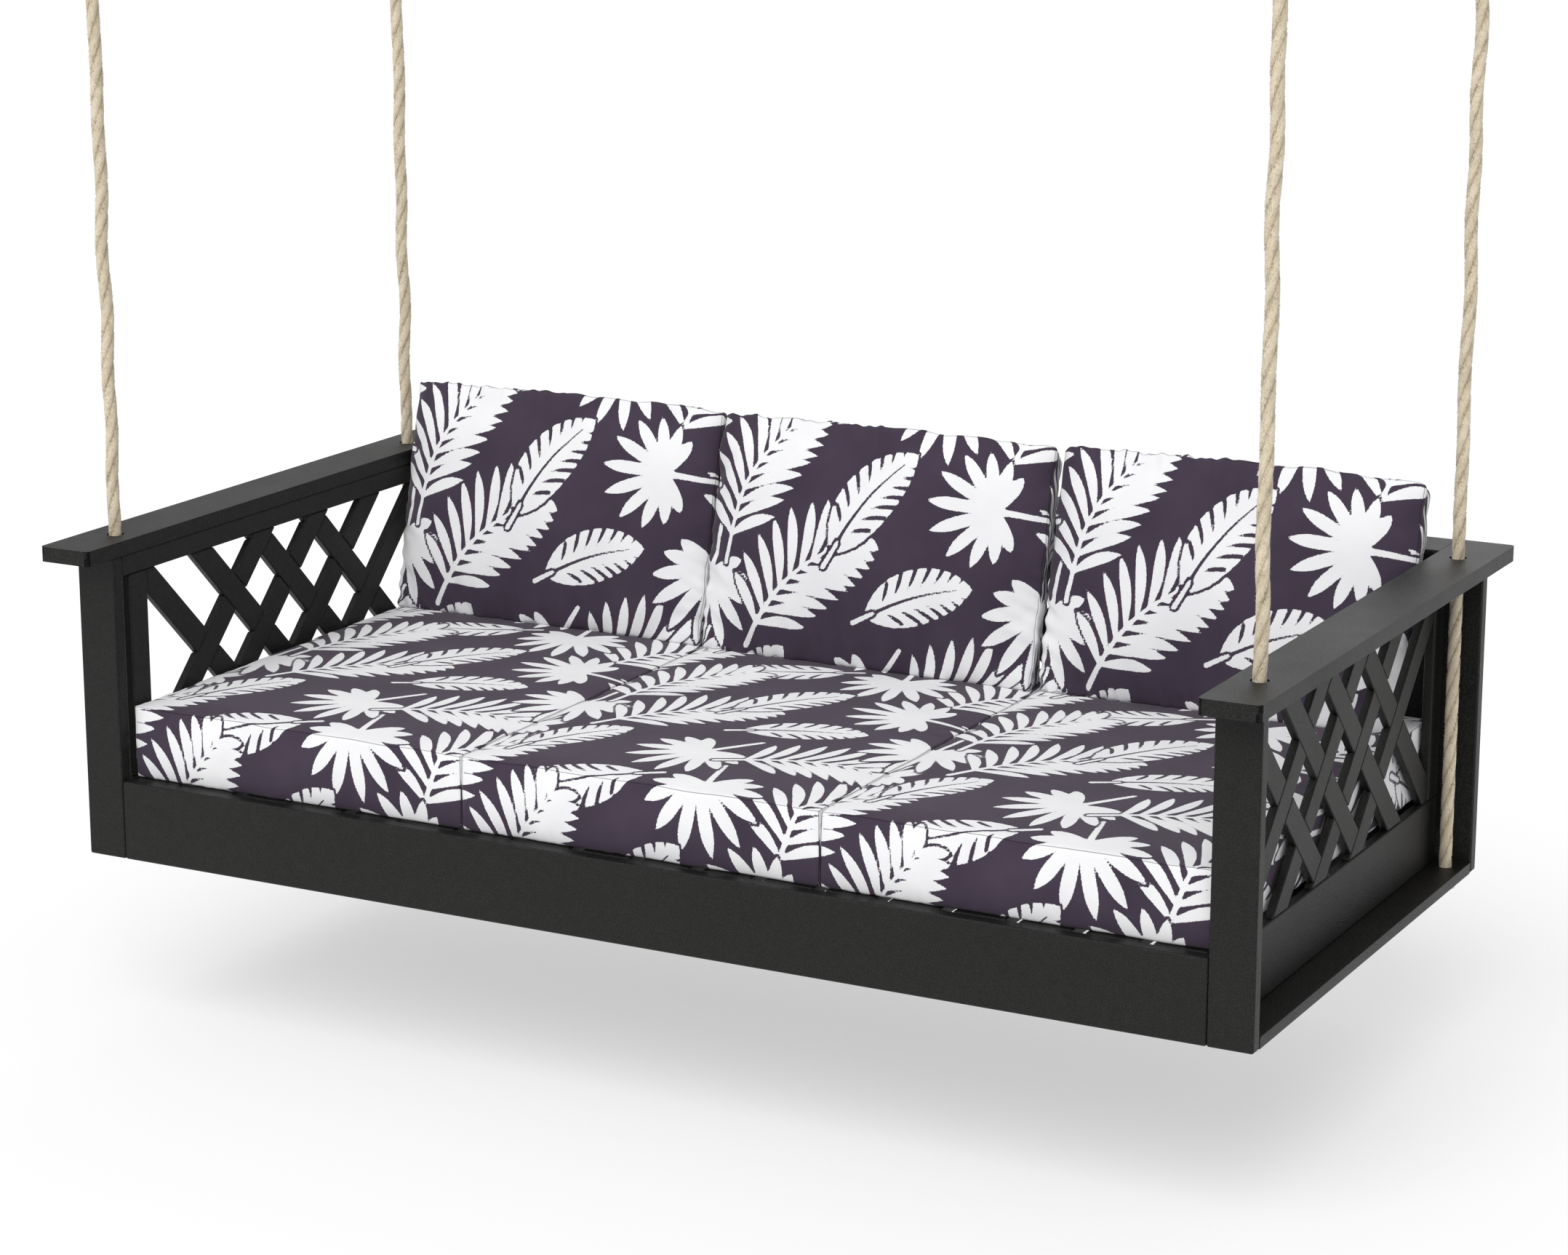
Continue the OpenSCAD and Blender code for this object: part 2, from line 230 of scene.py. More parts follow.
def twisted_rope(name, line, s, seed):
    """Three strands laid together, as one closed surface whose section turns along the line."""
    heading = np.gradient(line, axis=0)
    heading /= np.linalg.norm(heading, axis=1)[:, None]
    across = np.tile(np.array([1.0, 0, 0]), (len(line), 1))
    other = np.cross(heading, across)
    other /= np.linalg.norm(other, axis=1)[:, None]
    across = np.cross(other, heading)
    angle = 2 * math.pi * np.arange(ROPE_SIDES) / ROPE_SIDES
    valley = 1 - np.abs(np.cos(1.5 * angle)) ** 0.55
    turns = 2 * math.pi * s / ROPE_PITCH + seed
    tail = np.interp(s[-1] - s, [0, 0.004, 0.02, 0.05], [0.35, 0.62, 0.85, 1.0])
    verts, lay, groove = [], [], []
    for i, centre in enumerate(line):
        for k in range(ROPE_SIDES):
            a = angle[k] + turns[i]
            radius = (ROPE_D / 2 - STRAND_BULGE * valley[k]) * tail[i]
            place = Vector((math.cos(angle[k]) * 9, math.sin(angle[k]) * 9, s[i] * 160 + seed * 50))
            radius += 0.00035 * noise.noise(place) + 0.0003 * noise.noise(place * 3.1)
            verts.append(centre + radius * (math.cos(a) * across[i] + math.sin(a) * other[i]))
            lay.append((math.cos(angle[k]) * ROPE_D / 2, math.sin(angle[k]) * ROPE_D / 2, s[i] + seed))
            groove.append(valley[k])
    n, m = ROPE_SIDES, len(line)
    faces = [(i * n + k, i * n + (k + 1) % n, (i + 1) * n + (k + 1) % n, (i + 1) * n + k)
             for i in range(m - 1) for k in range(n)]
    faces += [tuple(range(n - 1, -1, -1)), tuple((m - 1) * n + k for k in range(n))]
    add_fuzz(verts, faces, lay, groove, (line, across, other, heading, tail, s), seed)
    rope = tidy_mesh(name, verts, faces)
    add_attribute(rope.data, "lay", "FLOAT_VECTOR", "POINT", lay)
    add_attribute(rope.data, "groove", "FLOAT", "POINT", groove)
    return rope


# Loose fibre ends on a rope, and the width of one at its root
FUZZ_COUNT = 9000
FUZZ_D = 0.00045


def add_fuzz(verts, faces, lay, groove, way, seed):
    """Loose fibre ends that stand off the strands, each a thin closed spike."""
    line, across, other, heading, tail, s = way
    dice = random.Random(int(seed * 100) + 3)
    for _ in range(FUZZ_COUNT):
        i = dice.randrange(2, len(line) - 8)
        a = dice.uniform(0, 2 * math.pi)
        out = math.cos(a) * across[i] + math.sin(a) * other[i]
        round_way = -math.sin(a) * across[i] + math.cos(a) * other[i]
        along = heading[i] * dice.choice((-1, 1)) + round_way * dice.uniform(-0.6, 0.6)
        root = line[i] + out * (ROPE_D / 2 - 0.0008) * tail[i]
        tip = root + out * dice.uniform(0.0012, 0.0028) * tail[i] + along * dice.uniform(0.0010, 0.0038)
        first = len(verts)
        verts += [root + FUZZ_D * heading[i], root - FUZZ_D * 0.5 * heading[i] + FUZZ_D * round_way,
                  root - FUZZ_D * 0.5 * heading[i] - FUZZ_D * round_way, tip]
        faces += [(first, first + 1, first + 2), (first, first + 3, first + 1),
                  (first + 1, first + 3, first + 2), (first + 2, first + 3, first)]
        lay += [(math.cos(a) * ROPE_D / 2, math.sin(a) * ROPE_D / 2, s[i] + seed)] * 4
        # The fibre ends carry a high groove value, so they take nearly the full painted groove shade
        groove += [0.9] * 4


# Turns of twine, its thickness, and how far under the hanger's bar it starts
SEIZING_TURNS = 9
SEIZING_D = 0.0030
SEIZING_UNDER_BAR = 0.066


def seizing(name, x, y, seed):
    """Twine wound round the rope and its tail, under the eye."""
    top = BAR_Z - SEIZING_UNDER_BAR
    line = []
    steps = 40
    for i in range(SEIZING_TURNS * steps + 1):
        t = i / steps
        z = top - t * SEIZING_D
        tail_y = np.interp(z - BAR_Z, [-.1, -.082, -.062], [.0195, .0205, .0235])
        stand_y = np.interp(z - BAR_Z, [-.11, -.086, -.063], [-.003, -.008, -.015])
        reach = ROPE_D / 2 + SEIZING_D * 0.42
        a = 2 * math.pi * t
        middle, half = (tail_y + stand_y) / 2, (tail_y - stand_y) / 2
        dy = math.cos(a) * reach + math.copysign(half, math.cos(a)) * min(1, abs(math.cos(a)) * 3)
        line.append((x + math.sin(a) * reach, y + middle + dy, z))
    line = np.array(line)
    heading = np.gradient(line, axis=0)
    heading /= np.linalg.norm(heading, axis=1)[:, None]
    sides = 10
    verts = []
    for centre, h in zip(line, heading):
        other = np.cross(h, (0, 0, 1.0))
        other /= np.linalg.norm(other)
        third = np.cross(h, other)
        for k in range(sides):
            a = 2 * math.pi * k / sides
            verts.append(centre + SEIZING_D / 2 * (math.cos(a) * other + math.sin(a) * third))
    m = len(line)
    faces = [(i * sides + (k + 1) % sides, i * sides + k,
              (i + 1) * sides + k, (i + 1) * sides + (k + 1) % sides)
             for i in range(m - 1) for k in range(sides)]
    faces += [tuple(range(sides)), tuple((m - 1) * sides + k for k in range(sides - 1, -1, -1))]
    twine = tidy_mesh(name, verts, faces)
    add_attribute(twine.data, "lay", "FLOAT_VECTOR", "POINT", np.array(verts) * 0.6)
    # An even, small groove value: the twine takes a light share of the painted groove shade
    add_attribute(twine.data, "groove", "FLOAT", "POINT", np.full(len(verts), 0.25))
    return twine


ROPE_CLOTH = rope_material()
for number, corner in enumerate(CORNERS):
    rope_x = ROPE_X if "right" in corner else -ROPE_X
    rope_y = -ROPE_Y if "front" in corner else ROPE_Y
    line, s = rope_line(rope_x, rope_y, number * 1.7 + 0.4)
    rope = twisted_rope(corner + "_twisted_rope", line, s, number * 1.7 + 0.4)
    twine = seizing(corner + "_seizing", rope_x, rope_y, number)
    for piece in (rope, twine):
        piece.data.materials.append(ROPE_CLOTH)
    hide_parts(corner + "_rope", corner + "_lower_rope")
    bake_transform(rope)
    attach(twine, corner + "_rope")


# ---- Planks ----
BOARD_TINT = (0.0098, 0.0098, 0.0090)


def plank_material(name, shade):
    """Dense polyethylene board: charcoal, matt, with a fine pebbled skin and a few soft scuffs."""
    material, nodes, links, shader = new_material(name)
    place = object_place(nodes)
    pebble = noise_node(nodes, links, place, 520.0, 2.0, 0.5)
    swirl = noise_node(nodes, links, place, 60.0, 4.0, 0.6)
    broad = noise_node(nodes, links, place, 5.0, 3.0)
    mix = math_node(nodes, links, "ADD", math_node(nodes, links, "MULTIPLY", pebble, 0.80),
                    math_node(nodes, links, "MULTIPLY", swirl, 0.12))
    mix = math_node(nodes, links, "MULTIPLY_ADD", broad, 0.08, mix)
    tones = [tuple(c * shade * k for c in BOARD_TINT) for k in (0.35, 0.85, 2.6)]
    links.new(ramp(nodes, links, mix, ((0.38, tones[0]), (0.52, tones[1]), (0.68, tones[2]))),
              shader.inputs["Base Color"])
    rough = ramp(nodes, links, broad, ((0.3, (0.36,) * 3), (0.7, (0.46,) * 3)))
    links.new(rough, shader.inputs["Roughness"])
    fine = bump(nodes, links, pebble, 0.7, 0.0022)
    links.new(bump(nodes, links, swirl, 0.10, 0.0010, fine), shader.inputs["Normal"])
    shader.inputs["Specular IOR Level"].default_value = 0.22
    return material


def steel_material(name, tint, spangle):
    """Zinc-coated steel with soft crystal patches and fine scratches."""
    material, nodes, links, shader = new_material(name)
    place = object_place(nodes)
    cells = add_node(nodes, "ShaderNodeTexVoronoi", Scale=spangle)
    links.new(place, cells.inputs["Vector"])
    grain = noise_node(nodes, links, place, 900.0, 2.0)
    tone = math_node(nodes, links, "MULTIPLY_ADD", cells.outputs["Distance"], 0.5,
                     math_node(nodes, links, "MULTIPLY", grain, 0.5))
    low, high = tuple(c * 0.72 for c in tint), tuple(min(1.0, c * 1.12) for c in tint)
    links.new(ramp(nodes, links, tone, ((0.2, low), (0.75, high))), shader.inputs["Base Color"])
    links.new(ramp(nodes, links, tone, ((0.2, (0.42,) * 3), (0.8, (0.28,) * 3))), shader.inputs["Roughness"])
    links.new(bump(nodes, links, grain, 0.25, 0.0003), shader.inputs["Normal"])
    shader.inputs["Metallic"].default_value = 1.0
    return material


# Edges shorter than this belong to the rims of holes
RIM_EDGE = 0.015
SHARP = 0.8


def mark_long_corners(mesh):
    """Bevel weights on the long sharp edges only, so hole rims do not hold the easing back."""
    corners = {}
    for polygon in mesh.polygons:
        for key in polygon.edge_keys:
            ends = frozenset(tuple(round(c, 5) for c in mesh.vertices[v].co) for v in key)
            corners.setdefault(ends, []).append(polygon.normal)
    weights = mesh.attributes.new("bevel_weight_edge", "FLOAT", "EDGE")
    for edge in mesh.edges:
        ends = [mesh.vertices[v].co for v in edge.vertices]
        normals = corners[frozenset(tuple(round(c, 5) for c in co) for co in ends)]
        sharp = min(a.dot(b) for a in normals for b in normals) < SHARP
        weights.data[edge.index].value = float(sharp and (ends[0] - ends[1]).length > RIM_EDGE)


def dress(node, material, bevel, segments=3, holed=False):
    """Gives a CAD node its finish and eases its edges."""
    obj = frame["nodes"][node]
    obj.data.materials.clear()
    obj.data.materials.append(material)
    obj.data.polygons.foreach_set("use_smooth", [True] * len(obj.data.polygons))
    weld = obj.modifiers.new("weld", "WELD")
    weld.merge_threshold = 0.00002
    plain = obj.modifiers.new("plain", "DECIMATE")
    plain.decimate_type, plain.angle_limit = "DISSOLVE", math.radians(0.6)
    ease = obj.modifiers.new("ease", "BEVEL")
    ease.width, ease.segments, ease.limit_method = bevel, segments, "ANGLE"
    ease.angle_limit = math.radians(35)
    if holed:
        mark_long_corners(obj.data)
        ease.limit_method = "WEIGHT"
    ease.miter_outer = "MITER_ARC"
    ease.use_clamp_overlap = True
    flat = obj.modifiers.new("flat", "WEIGHTED_NORMAL")
    flat.keep_sharp, flat.weight = False, 100


PLANK = plank_material("charcoal_plank", 1.0)
DECK = plank_material("charcoal_deck", 0.85)
ZINC = steel_material("zinc_steel", (0.62, 0.62, 0.64), 140.0)
GALVANISED = steel_material("galvanised_steel", (0.50, 0.51, 0.53), 60.0)
# How far the edges of each kind of piece are eased
EASED, ARM_EASED, LATTICE_EASED = 0.0040, 0.0060, 0.0032
DECK_EASED, STEEL_EASED, FITTING_EASED = 0.0030, 0.0008, 0.0004
for entry in frame["record"]["subparts"]:
    node, slot = entry["node"], entry["material_slot"]
    if slot == "frame_plank":
        eased = LATTICE_EASED if node.endswith("_slats") else ARM_EASED if node.endswith("_arm") else EASED
        holed = node.endswith(("_arm", "_base_board", "_lower_rail"))
        dress(node, PLANK, eased, holed=holed)
    elif slot == "deck_plank":
        dress(node, DECK, DECK_EASED, 2)
    elif slot == "hanger_steel":
        dress(node, GALVANISED, STEEL_EASED, 2)
    elif slot == "zinc_steel":
        dress(node, ZINC, FITTING_EASED, 2)


# ---- Floor, backdrop and light ----
# Name, strength, spread in degrees and the way the light travels
SUNS = (("softbox", 2.2, 50, (-0.06, 0.88, -1.0)), ("rim_light", 0.45, 40, (0.16, -0.95, -0.50)))
FLOOR_TONE, FLOOR_GLOW, SKY_STRENGTH = 0.46, 0.51, 0.55


def floor_and_light():
    """A pale floor that glows a little, under soft suns and a white sky."""
    floor_z = -CEILING_TO_BASE - FLOOR_UNDER_BASE
    reach = 70.0
    floor = tidy_mesh("floor", [(-reach, -reach, floor_z), (reach, -reach, floor_z), (reach, reach, floor_z),
                                (-reach, reach, floor_z)], [(0, 1, 2, 3)])
    material, nodes, links, shader = new_material("pale_floor")
    shader.inputs["Base Color"].default_value = (FLOOR_TONE, FLOOR_TONE, FLOOR_TONE, 1.0)
    shader.inputs["Roughness"].default_value = 1.0
    shader.inputs["Specular IOR Level"].default_value = 0.0
    shader.inputs["Emission Color"].default_value = (1.0, 1.0, 1.0, 1.0)
    shader.inputs["Emission Strength"].default_value = FLOOR_GLOW
    floor.data.materials.append(material)
    world = bpy.data.worlds.new("studio")
    world.use_nodes = True
    world.node_tree.nodes["Background"].inputs["Color"].default_value = (1.0, 1.0, 1.0, 1.0)
    world.node_tree.nodes["Background"].inputs["Strength"].default_value = SKY_STRENGTH
    scene.world = world
    for name, strength, spread, way in SUNS:
        light = bpy.data.lights.new(name, "SUN")
        light.energy, light.angle = strength, math.radians(spread)
        lamp = bpy.data.objects.new(name, light)
        lamp.rotation_mode = "QUATERNION"
        lamp.rotation_quaternion = Vector(way).to_track_quat("-Z", "Y")
        scene.collection.objects.link(lamp)


floor_and_light()


# ---- The leaf print: a signed distance in millimetres, below zero inside a leaf ----
TILE_U, TILE_V = 668.0, 720.0
CELL = 2.0
EDGE_REACH = 14.0
LEAF_GAP = 5.0
PLACES_ACROSS, PLACES_UP = 3, 4


class Print:
    """Leaves drawn as tapered strokes on a tile that repeats both ways."""

    def __init__(self):
        self.nu, self.nv = round(TILE_U / CELL), round(TILE_V / CELL)
        self.leaf_sheet = np.full((self.nv, self.nu), EDGE_REACH)
        self.start_leaf()

    def start_leaf(self):
        self.body = np.full((self.nv, self.nu), EDGE_REACH)
        self.cut = np.full((self.nv, self.nu), EDGE_REACH)

    def end_leaf(self):
        """Lays the leaf over the others, with a dark line round it."""
        under = np.maximum(self.leaf_sheet, LEAF_GAP - self.body)
        self.leaf_sheet = np.minimum(under, np.maximum(self.body, -self.cut))
        self.start_leaf()

    def stroke(self, points, radii, dark=False):
        """A band along points, each with its own half width; dark ones cut the leaf."""
        target = self.cut if dark else self.body
        for (a, ra), (b, rb) in zip(zip(points, radii), zip(points[1:], radii[1:])):
            a, b = np.array(a, float), np.array(b, float)
            pad = max(ra, rb) + EDGE_REACH
            lo = np.floor((np.minimum(a, b) - pad) / CELL).astype(int)
            hi = np.ceil((np.maximum(a, b) + pad) / CELL).astype(int)
            iu, iv = np.arange(lo[0], hi[0] + 1), np.arange(lo[1], hi[1] + 1)
            gu, gv = np.meshgrid(iu * CELL, iv * CELL)
            d = b - a
            t = ((gu - a[0]) * d[0] + (gv - a[1]) * d[1]) / max(d @ d, 1e-9)
            t = np.clip(t, 0, 1)
            dist = np.hypot(gu - a[0] - t * d[0], gv - a[1] - t * d[1]) - (ra + t * (rb - ra))
            rows, cols = np.meshgrid(iv % self.nv, iu % self.nu, indexing="ij")
            np.minimum.at(target, (rows, cols), dist)

    def finger(self, base, tip, width, bend=0.0, fat=0.55, root=0.25, dark=False):
        """A leaflet: narrow at its base, widest at fat of its length, pointed at its tip."""
        base, tip = np.array(base, float), np.array(tip, float)
        along = tip - base
        side = np.array([-along[1], along[0]])
        steps = np.linspace(0, 1, 15)
        line = [base + along * t + side * bend * math.sin(math.pi * t) for t in steps]
        half = []
        for t in steps:
            if t < fat:
                w = root + (1 - root) * math.sin(math.pi / 2 * t / fat)
            else:
                w = math.cos(math.pi / 2 * ((t - fat) / (1 - fat)) ** 1.25)
            half.append(max(0.3, width / 2 * w))
        self.stroke(line, half, dark)


def spot(line, share):
    """Point and heading at a share of a line's length."""
    steps = np.linalg.norm(np.diff(line, axis=0), axis=1)
    s = np.concatenate([[0], np.cumsum(steps)]) / steps.sum()
    at = np.array([np.interp(share, s, line[:, k]) for k in (0, 1)])
    i = min(int(np.searchsorted(s, share)), len(line) - 1)
    d = line[max(i, 1)] - line[max(i, 1) - 1]
    return at, d / np.linalg.norm(d)


def turn(d, degrees):
    a = math.radians(degrees)
    return np.array([d[0] * math.cos(a) - d[1] * math.sin(a), d[0] * math.sin(a) + d[1] * math.cos(a)])


def bowed_line(base, degrees, length, bow, count=16):
    """Points from base along a heading, bowed to one side."""
    heading = turn((1.0, 0.0), degrees)
    side = turn(heading, 90)
    return np.array([base + heading * length * t + side * length * bow * math.sin(math.pi * t)
                     for t in np.linspace(0, 1, count)])


def feather_leaf(p, middle, degrees, size):
    """Frond: a bowed rib with pairs of leaflets, longest at its middle."""
    pairs = 10
    first, last = 0.16, 0.96
    rib = bowed_line(middle - turn((size / 2, 0.0), degrees), degrees, size, 0.10)
    p.stroke(list(rib), list(np.linspace(5.0, 2.0, len(rib))))
    for k in range(pairs):
        share = first + (last - first) * k / (pairs - 1)
        at, d = spot(rib, share)
        reach = 0.40 * size * math.sin(math.pi * (0.15 + 0.77 * share)) ** 0.7
        for side in (1, -1):
            p.finger(at, at + turn(d, side * (64 - 26 * share)) * reach, 0.066 * size, -0.06 * side)
    p.end_leaf()


def oval_leaf(p, middle, degrees, size):
    """Broad pointed leaf with a dark midrib and dark veins that open at its edge."""
    veins = 7
    rib = bowed_line(middle - turn((size / 2, 0.0), degrees), degrees, size, 0.05)
    p.finger(rib[0], rib[-1], 0.46 * size, 0.05, fat=0.45, root=0.12)
    p.stroke(list(rib[:-2]), list(np.linspace(3.4, 1.4, len(rib) - 2)), dark=True)
    for k in range(veins):
        share = 0.14 + 0.70 * k / (veins - 1)
        at, d = spot(rib, share)
        reach = 0.36 * size * math.sin(math.pi * (0.12 + 0.76 * share))
        for side in (1, -1):
            out = at + turn(d, side * 50) * reach
            p.finger(out, at + (out - at) * 0.25, 0.034 * size, 0.04 * side, fat=0.3, root=0.9, dark=True)
    p.end_leaf()
    p.stroke([rib[0] - (rib[1] - rib[0]) * 2.2, rib[0] + (rib[1] - rib[0])], [4.6, 3.4])
    p.end_leaf()


def fan_leaf(p, middle, degrees, size):
    """Fan: rays spread evenly from one point on a short stalk."""
    rays, spread = 11, 236
    heading = turn((1.0, 0.0), degrees)
    centre = middle - heading * 0.12 * size
    for k in range(rays):
        swing = (k / (rays - 1) - 0.5) * spread
        reach = size * (0.40 + 0.18 * math.cos(math.radians(swing)))
        p.finger(centre, centre + turn(heading, swing) * reach, 0.098 * size, 0.0, fat=0.62, root=0.18)
    p.stroke([centre, centre - heading * 0.42 * size], [6.0, 4.2])
    p.end_leaf()


def leaf_print():
    """Places on a staggered grid, moved and turned by dice; every form takes its turn."""
    p, dice = Print(), random.Random(41)
    forms = ((feather_leaf, 290), (oval_leaf, 225), (fan_leaf, 245))
    for row in range(PLACES_UP):
        for column in range(PLACES_ACROSS):
            middle = np.array([(column + 0.5 * (row % 2)) * TILE_U / PLACES_ACROSS + dice.uniform(-16, 16),
                               row * TILE_V / PLACES_UP + dice.uniform(-12, 12)])
            form, size = forms[(column + row) % len(forms)]
            form(p, middle, dice.uniform(0, 360), size * dice.uniform(0.88, 1.08))
    return p.leaf_sheet


# ---- Cushions ----
CUSHION_PITCH, CUSHION_W = 0.668, 0.667
SEAT_FRONT, SEAT_DEEP, SEAT_THICK = 0.031, 0.979, 0.128
SEAT_Z = 0.1405
BACK_FOOT_Y, BACK_THICK, BACK_TALL = 0.812, 0.130, 0.430
BACK_FOOT_Z = SEAT_Z + SEAT_THICK + 0.0005
BACK_LEAN = math.radians(13)
BACK_LIFT = 0.010
FORWARD = (0.0, 0.010, -0.003)
GRID = 0.0168
SUBDIVISIONS = 2
PANELS = (("front", 1, 0), ("back", 1, 1), ("left", 0, 0), ("right", 0, 1), ("bottom", 2, 0), ("top", 2, 1))


class BoxGrid:
    """The six panels of a box cushion as one closed grid whose panels meet at the seams."""

    def __init__(self, size):
        self.size = np.array(size)
        self.n = np.maximum(3, np.round(self.size / GRID).astype(int))
        self.index, self.cells, self.faces, self.panel = {}, [], [], []
        for number, (_, axis, far) in enumerate(PANELS):
            u, v = [a for a in range(3) if a != axis]
            flip = (far == 0) == (axis != 1)
            for i in range(self.n[u]):
                for j in range(self.n[v]):
                    ring = []
                    for di, dj in ((0, 0), (1, 0), (1, 1), (0, 1)):
                        cell = [0, 0, 0]
                        cell[axis] = int(self.n[axis]) if far else 0
                        cell[u], cell[v] = i + di, j + dj
                        ring.append(self.vertex(tuple(cell)))
                    self.faces.append(ring[::-1] if flip else ring)
                    self.panel.append(number)
        self.cells = np.array(self.cells)
        self.rest = self.cells / self.n * self.size

    def vertex(self, cell):
        if cell not in self.index:
            self.index[cell] = len(self.cells)
            self.cells.append(cell)
        return self.index[cell]

    def on_seam(self):
        """True where two panels meet."""
        ends = (self.cells == 0) | (self.cells == self.n)
        return ends.sum(axis=1) >= 2


def swell(obj, hold, pressure, stretch, frames=18):
    """Blows the cushion up as cloth whose panels are a little larger than their seams."""
    group = obj.vertex_groups.new(name="seams")
    for i, weight in enumerate(hold):
        if weight > 0:
            group.add([i], float(weight), "REPLACE")
    cloth = obj.modifiers.new("cloth", "CLOTH")
    s = cloth.settings
    s.quality, s.mass, s.air_damping = 5, 0.25, 1.0
    s.tension_stiffness = s.compression_stiffness = 16.0
    s.shear_stiffness, s.bending_stiffness = 6.0, 0.35
    s.use_pressure, s.uniform_pressure_force = True, pressure
    s.effector_weights.gravity = 0.0
    s.vertex_group_mass = "seams"
    s.shrink_min = s.shrink_max = -stretch
    cloth.point_cache.frame_start, cloth.point_cache.frame_end = 1, frames
    for number in range(1, frames + 1):
        scene.frame_set(number)
    shape = obj.evaluated_get(bpy.context.evaluated_depsgraph_get()).data
    co = np.zeros(len(shape.vertices) * 3)
    shape.vertices.foreach_get("co", co)
    obj.modifiers.remove(cloth)
    scene.frame_set(1)
    return co.reshape(-1, 3)


def ripple(along, seed, length, amount):
    """A hand-sewn waver along a seam."""
    return amount * (0.6 * np.sin(2 * math.pi * along / length + seed)
                     + 0.4 * np.sin(2 * math.pi * along / (length * 0.61) + 2.3 * seed))


BACK_CUT = TILE_V / 3


def panel_print(grid, kind, panel, rest):
    """Where a point of a panel lies on the printed cloth, in millimetres."""
    x, y, z = (rest * 1000).T
    deep, tall = grid.size[1] * 1000, grid.size[2] * 1000
    wide = grid.size[0] * 1000
    if kind == "seat":
        return {"top": (x, y), "front": (x, z - tall), "bottom": (x, -tall - y), "back": (x, deep + tall - z),
                "left": (z - tall, y), "right": (wide + tall - z, y)}[panel]
    up, brim = BACK_CUT + z, BACK_CUT + tall
    return {"front": (x, up), "back": (wide - x, up), "top": (x, brim + y), "bottom": (x, BACK_CUT - y),
            "left": (-y, up), "right": (wide + y, up)}[panel]


def sample_print(sheet, u, v):
    """The print's distance at points of the cloth, between the cells of its tile."""
    rows, cols = sheet.shape
    gu, gv = u / CELL, v / CELL
    iu, iv = np.floor(gu).astype(int), np.floor(gv).astype(int)
    fu, fv = gu - iu, gv - iv
    low, high = iv % rows, (iv + 1) % rows
    near, far = iu % cols, (iu + 1) % cols
    under = (1 - fu) * sheet[low, near] + fu * sheet[low, far]
    over = (1 - fu) * sheet[high, near] + fu * sheet[high, far]
    return (1 - fv) * under + fv * over


def cloth_material():
    material, nodes, links, shader = new_material("leaf_cloth")
    cloth = attribute(nodes, "cloth", "Vector")
    leaf = attribute(nodes, "leaf")
    seam = attribute(nodes, "seam")
    ragged = noise_node(nodes, links, cloth, 300.0, 1.0)
    bleed = math_node(nodes, links, "MULTIPLY_ADD", ragged, 2.6, -1.3)
    edge = math_node(nodes, links, "ADD", leaf, bleed)
    dark = math_node(nodes, links, "MULTIPLY_ADD", edge, 1.1, 0.5, clamp=True)
    faded = noise_node(nodes, links, cloth, 9.0, 3.0)
    dark_tone = ramp(nodes, links, faded, ((0.3, (0.041, 0.028, 0.048)), (0.7, (0.055, 0.039, 0.064))))
    white_tone = ramp(nodes, links, faded, ((0.3, (0.80, 0.80, 0.82)), (0.7, (0.86, 0.86, 0.87))))
    dye = add_node(nodes, "ShaderNodeMix", data_type="RGBA")
    links.new(dark, dye.inputs["Factor"])
    links.new(white_tone, dye.inputs[6])
    links.new(dark_tone, dye.inputs[7])
    weave = weave_height(nodes, links, cloth)
    thread = add_node(nodes, "ShaderNodeMix", data_type="RGBA", blend_type="MULTIPLY")
    thread.inputs["Factor"].default_value = 1.0
    links.new(dye.outputs[2], thread.inputs[6])
    links.new(ramp(nodes, links, weave, ((0.0, (0.82,) * 3), (1.0, (1.06,) * 3))), thread.inputs[7])
    # Painted shade: the cloth's colour darkens to 0.42 of itself within half a millimetre of a seam, fading
    # out by 1.5 mm
    shade = add_node(nodes, "ShaderNodeMix", data_type="RGBA", blend_type="MULTIPLY")
    shade.inputs["Factor"].default_value = 1.0
    links.new(thread.outputs[2], shade.inputs[6])
    links.new(ramp(nodes, links, math_node(nodes, links, "MULTIPLY", seam, 0.5, clamp=True),
                   ((0.25, (0.42,) * 3), (0.75, (1.0,) * 3))), shade.inputs[7])
    links.new(shade.outputs[2], shader.inputs["Base Color"])
    slub = noise_node(nodes, links, cloth, 420.0, 2.0)
    rough = bump(nodes, links, slub, 0.25, 0.0006, bump(nodes, links, weave, 0.35, 0.0004))
    links.new(rough, shader.inputs["Normal"])
    shader.inputs["Roughness"].default_value = 0.88
    shader.inputs["Sheen Weight"].default_value = 0.12
    shader.inputs["Sheen Roughness"].default_value = 0.5
    shader.inputs["Specular IOR Level"].default_value = 0.2
    return material


def weave_height(nodes, links, cloth):
    """Plain weave: warp and weft threads that cross over and under."""
    split = nodes.new("ShaderNodeSeparateXYZ")
    links.new(cloth, split.inputs[0])
    thread = 2 * math.pi / 0.0016
    warp = math_node(nodes, links, "SINE", math_node(nodes, links, "MULTIPLY", split.outputs["X"], thread))
    weft = math_node(nodes, links, "SINE", math_node(nodes, links, "MULTIPLY", split.outputs["Y"], thread))
    over = math_node(nodes, links, "MULTIPLY", warp, weft)
    return math_node(nodes, links, "MULTIPLY_ADD", over, 0.5, 0.5)


LEAF_CLOTH = cloth_material()
LEAF_SHEET = leaf_print()


CREASES = {"seat": 0.55, "back": 0.25}


